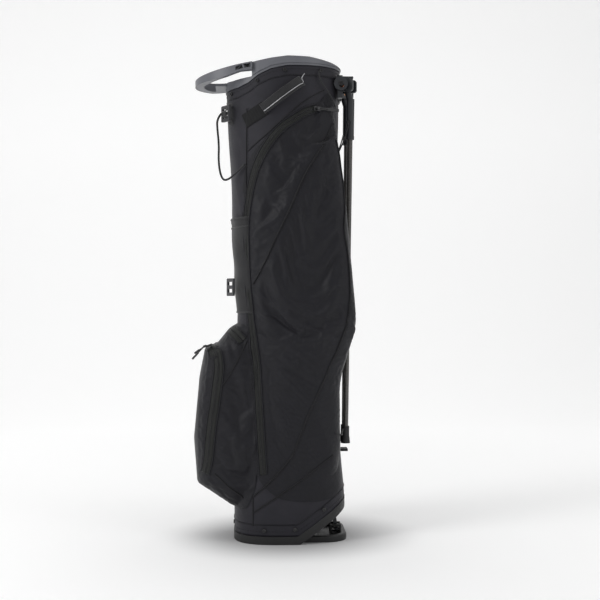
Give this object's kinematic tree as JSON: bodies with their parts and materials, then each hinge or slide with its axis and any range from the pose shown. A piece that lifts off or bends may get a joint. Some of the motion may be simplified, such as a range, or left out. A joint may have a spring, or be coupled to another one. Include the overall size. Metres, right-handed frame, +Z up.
{
  "type": "golf stand bag",
  "caption": "Upright lightweight golf bag with a four-way mouth, lift handle, side and ball pockets, and two hinged legs worked by a foot in the base.",
  "frame": {"origin": "on the flat sole, below the middle of the bag's mouth", "axes": "+Z up along the bag; +X towards the legs; -Y towards the clothing pocket and grab handle"},
  "size_m": [0.3101, 0.2417, 0.894],
  "materials": {
    "fabric_panel": "fine plain weave",
    "fabric_pocket": "fine ripstop weave",
    "stretch_mesh": "stretch knit",
    "webbing": "woven webbing",
    "strap_pad": "padded air mesh",
    "divider_cloth": "brushed cloth",
    "zip_tape": "woven zip tape",
    "patch": "textured synthetic leather",
    "elastic": "braided elastic",
    "base_plastic": "fine moulded texture",
    "rim_plastic": "satin moulding",
    "bracket_plastic": "satin moulding",
    "buckle_plastic": "satin",
    "slider_metal": "black lacquer",
    "pull_rubber": "soft moulded",
    "carbon_tube": "twill weave under clear coat",
    "boot_rubber": "matte",
    "screw_steel": "black oxide, worn",
    "pin_brass": "plain",
    "rod_steel": "drawn wire",
    "stay_fibre": "glass fibre"
  },
  "bodies": {
    "bag": {"bag_tube": "fabric_panel", "side_pocket": "fabric_pocket", "ball_pocket": "fabric_pocket", "bottle_sleeve": "stretch_mesh", "grab_handle": "webbing", "leg_tab": "webbing", "tape_loop": "webbing", "shoulder_strap": "strap_pad", "hip_pad": "strap_pad", "divider_front": "divider_cloth", "divider_rear": "divider_cloth", "side_zip": "zip_tape", "ball_zip": "zip_tape", "shoulder_zip": "zip_tape", "handle_patch": "patch", "tether_cord": "elastic", "keeper_loop": "elastic", "base_tray": "base_plastic", "rim_handle": "rim_plastic", "collar": "rim_plastic", "top_divider": "rim_plastic", "mechanism_cover": "rim_plastic", "leg_yoke": "bracket_plastic", "rod_guides": "bracket_plastic", "sleeve_buckle": "buckle_plastic", "top_buckle": "buckle_plastic", "push_wire_near": "slider_metal", "push_wire_far": "slider_metal", "base_screws": "screw_steel", "collar_screws": "screw_steel", "yoke_screws": "screw_steel", "foot_pins": "screw_steel", "leg_pin_near": "pin_brass", "leg_pin_far": "pin_brass", "stay_front": "stay_fibre", "stay_near": "stay_fibre", "stay_far": "stay_fibre"},
    "foot": {"foot_ring": "base_plastic"},
    "rods": {"push_rod": "rod_steel", "crosshead": "bracket_plastic"},
    "link": {"drop_link": "bracket_plastic"},
    "leg_near": {"leg_socket_near": "bracket_plastic", "leg_tube_near": "carbon_tube", "leg_boot_near": "boot_rubber", "leg_rivet_near": "screw_steel"},
    "leg_far": {"leg_socket_far": "bracket_plastic", "leg_tube_far": "carbon_tube", "leg_boot_far": "boot_rubber", "leg_rivet_far": "screw_steel"},
    "side_slider_body": {"side_slider": "slider_metal"},
    "side_pull_body": {"side_pull": "pull_rubber"},
    "ball_slider_body": {"ball_slider": "slider_metal"},
    "ball_pull_body": {"ball_pull": "pull_rubber"}
  },
  "joints": [
    {"name": "foot_tilt", "type": "hinge", "parent": "bag", "child": "foot", "pos_m": [0.024, 0, 0.006], "axis": [0, -1, 0], "range_deg": [0, 34], "stiffness_Nm_per_rad": 0.3, "springref_deg": -11.46},
    {"name": "rod_slide", "type": "slide", "parent": "bag", "child": "rods", "axis": [0, 0, 1], "range_m": [0, 0.0424]},
    {"name": "link_turn", "type": "hinge", "parent": "rods", "child": "link", "pos_m": [0.094, 0, 0.05], "axis": [0, 1, 0], "range_deg": [0, 24.8]},
    {"name": "leg_swing_near", "type": "hinge", "parent": "bag", "child": "leg_near", "pos_m": [0.118, -0.034, 0.848], "axis": [-0.4226, -0.9063, 0], "range_deg": [0, 41], "deforming": ["push_wire_near"]},
    {"name": "leg_swing_far", "type": "hinge", "parent": "bag", "child": "leg_far", "pos_m": [0.118, 0.034, 0.848], "axis": [0.4226, -0.9063, 0], "range_deg": [0, 41], "deforming": ["push_wire_far"]},
    {"name": "side_zip_slide", "type": "slide", "parent": "bag", "child": "side_slider_body", "axis": [-0.8299, -0.4177, -0.3697], "range_m": [0, 0.028]},
    {"name": "side_pull_swing", "type": "hinge", "parent": "side_slider_body", "child": "side_pull_body", "pos_m": [0.06132, -0.08721, 0.799], "axis": [0.4496, -0.8932, 0], "range_deg": [-30, 90]},
    {"name": "ball_zip_slide", "type": "slide", "parent": "bag", "child": "ball_slider_body", "axis": [0, 1, 0], "range_m": [0, 0.1]},
    {"name": "ball_pull_swing", "type": "hinge", "parent": "ball_slider_body", "child": "ball_pull_body", "pos_m": [-0.14815, -0.05, 0.36201], "axis": [0, 1, 0], "range_deg": [0, 90]}
  ],
  "couplings": [
    {"joint": "rod_slide", "follows": "foot_tilt", "m_per_rad": 0.07145},
    {"joint": "link_turn", "follows": "foot_tilt", "ratio": 0.72938},
    {"joint": "leg_swing_near", "follows": "foot_tilt", "ratio": 1.2059},
    {"joint": "leg_swing_far", "follows": "foot_tilt", "ratio": 1.2059}
  ]
}
